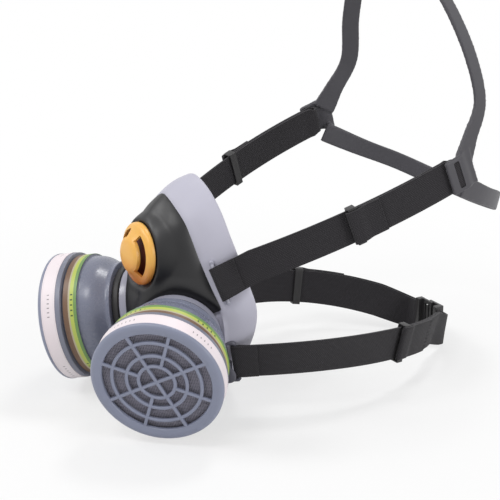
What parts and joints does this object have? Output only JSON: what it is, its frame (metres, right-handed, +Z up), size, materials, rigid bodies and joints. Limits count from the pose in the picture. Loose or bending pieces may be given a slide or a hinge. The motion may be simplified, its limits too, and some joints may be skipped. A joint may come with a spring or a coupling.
{
  "type": "half-mask respirator",
  "caption": "Half-mask respirator with twin splayed combined filters, a front exhalation valve and an elastic head harness with crown yoke and nape clasp, shown in its worn shape.",
  "frame": {"origin": "middle of the plane that the rim of the face seal lies in, on the wearer's middle plane; the mask is tipped down 12 degrees from there", "axes": "+X the wearer's left, +Y back through the head, +Z up"},
  "size_m": [0.1692, 0.2895, 0.2546],
  "materials": {
    "seal_grey": "smooth matt thermoplastic elastomer",
    "shell_black": "satin moulded shell",
    "frame_grey": "satin moulded bar",
    "seat_black": "moulded valve seat",
    "valve_rubber": "thin silicone disc, dark red",
    "cover_orange": "gloss moulded cap",
    "clasp_black": "satin moulded clasp",
    "yoke_rubber": "smooth dark rubber",
    "port_grey": "polished light grey ring",
    "lug_grey": "moulded grey bar",
    "webbing_black": "woven elastic webbing",
    "slider_black": "satin moulded slider",
    "gasket_black": "soft black gasket",
    "canister_grey": "satin blue-grey moulding",
    "screen_white": "perforated screen",
    "sorbent_black": "granular carbon",
    "gas_label": "banded paper label, brown, grey, yellow and green",
    "housing_grey": "satin blue-grey moulding",
    "filter_media": "grey filter fleece under fine mesh",
    "particle_label": "plain white paper label",
    "grille_grey": "satin blue-grey moulded grille"
  },
  "bodies": {
    "facepiece": {"face_seal": "seal_grey", "front_shell": "shell_black", "lower_frame": "frame_grey", "exhale_seat": "seat_black", "nape_loop": "clasp_black", "lower_end_right": "webbing_black", "inlet_port_left": "port_grey", "inlet_port_right": "port_grey", "upper_lug_left": "lug_grey", "upper_lug_right": "lug_grey", "upper_end_loop_left": "webbing_black", "upper_end_loop_right": "webbing_black", "lower_end_loop_left": "webbing_black", "lower_end_loop_right": "webbing_black", "lower_strap_left": "webbing_black", "lower_strap_right": "webbing_black", "lower_return_left": "webbing_black", "lower_return_right": "webbing_black"},
    "cartridge_left": {"port_gasket_left": "gasket_black", "canister_left": "canister_grey", "rear_screen_left": "screen_white", "sorbent_bed_left": "sorbent_black", "front_screen_left": "screen_white", "gas_label_left": "gas_label", "particle_housing_left": "housing_grey", "pleated_disc_left": "filter_media", "particle_label_left": "particle_label", "grille_left": "grille_grey"},
    "inhale_disc_left": {"inhale_valve_left": "valve_rubber"},
    "upper_adjuster_left": {"upper_slider_left": "slider_black"},
    "lower_adjuster_left": {"lower_slider_left": "slider_black"},
    "cartridge_right": {"port_gasket_right": "gasket_black", "canister_right": "canister_grey", "rear_screen_right": "screen_white", "sorbent_bed_right": "sorbent_black", "front_screen_right": "screen_white", "gas_label_right": "gas_label", "particle_housing_right": "housing_grey", "pleated_disc_right": "filter_media", "particle_label_right": "particle_label", "grille_right": "grille_grey"},
    "inhale_disc_right": {"inhale_valve_right": "valve_rubber"},
    "upper_adjuster_right": {"upper_slider_right": "slider_black"},
    "lower_adjuster_right": {"lower_slider_right": "slider_black"},
    "exhale_disc": {"exhale_valve": "valve_rubber"},
    "vent_cover": {"exhale_cover": "cover_orange"},
    "harness": {"crown_yoke": "yoke_rubber", "upper_strap_left": "webbing_black", "upper_strap_right": "webbing_black", "upper_return_left": "webbing_black", "upper_return_right": "webbing_black", "upper_fold_left": "webbing_black", "upper_fold_right": "webbing_black"},
    "nape_release": {"nape_hook": "clasp_black", "lower_end_left": "webbing_black"}
  },
  "joints": [
    {"name": "cartridge_turn_left", "type": "hinge", "parent": "facepiece", "child": "cartridge_left", "pos_m": [0.0227, -0.03487, -0.01774], "axis": [0.7082, -0.6753, -0.2059], "range_deg": [-45, 0]},
    {"name": "inhale_lift_left", "type": "slide", "parent": "facepiece", "child": "inhale_disc_left", "axis": [-0.7082, 0.6753, 0.2059], "range_m": [0, 0.0012], "stiffness_N_per_m": 60},
    {"name": "cartridge_turn_right", "type": "hinge", "parent": "facepiece", "child": "cartridge_right", "pos_m": [-0.0227, -0.03487, -0.01774], "axis": [-0.7082, -0.6753, -0.2059], "range_deg": [-45, 0]},
    {"name": "inhale_lift_right", "type": "slide", "parent": "facepiece", "child": "inhale_disc_right", "axis": [0.7082, 0.6753, 0.2059], "range_m": [0, 0.0012], "stiffness_N_per_m": 60},
    {"name": "exhale_lift", "type": "slide", "parent": "facepiece", "child": "exhale_disc", "axis": [0, -0.9988, 0.0489], "range_m": [0, 0.0012], "stiffness_N_per_m": 60},
    {"name": "cover_unclip", "type": "slide", "parent": "facepiece", "child": "vent_cover", "axis": [0, -0.9988, 0.0489], "range_m": [0, 0.012]},
    {"name": "harness_stretch", "type": "slide", "parent": "facepiece", "child": "harness", "axis": [0, 0.95, 0.3122], "range_m": [0, 0.025], "stiffness_N_per_m": 120},
    {"name": "upper_adjust_left", "type": "hinge", "parent": "harness", "child": "upper_adjuster_left", "pos_m": [-0.2058, 0.116, 0.0327], "axis": [-0.11, -0.3101, 0.9443], "range_deg": [-4, 0]},
    {"name": "upper_adjust_right", "type": "hinge", "parent": "harness", "child": "upper_adjuster_right", "pos_m": [0.2058, 0.116, 0.0327], "axis": [-0.11, 0.3101, -0.9443], "range_deg": [-4, 0]},
    {"name": "lower_adjust_left", "type": "hinge", "parent": "facepiece", "child": "lower_adjuster_left", "pos_m": [-0.0443, 0.0596, -0.0593], "axis": [-0.22, 0.07, 0.973], "range_deg": [-10, 0]},
    {"name": "lower_adjust_right", "type": "hinge", "parent": "facepiece", "child": "lower_adjuster_right", "pos_m": [0.0443, 0.0596, -0.0593], "axis": [-0.22, -0.07, -0.973], "range_deg": [-10, 0]},
    {"name": "nape_unhook", "type": "slide", "parent": "facepiece", "child": "nape_release", "axis": [0, 1, 0], "range_m": [0, 0.009]}
  ]
}
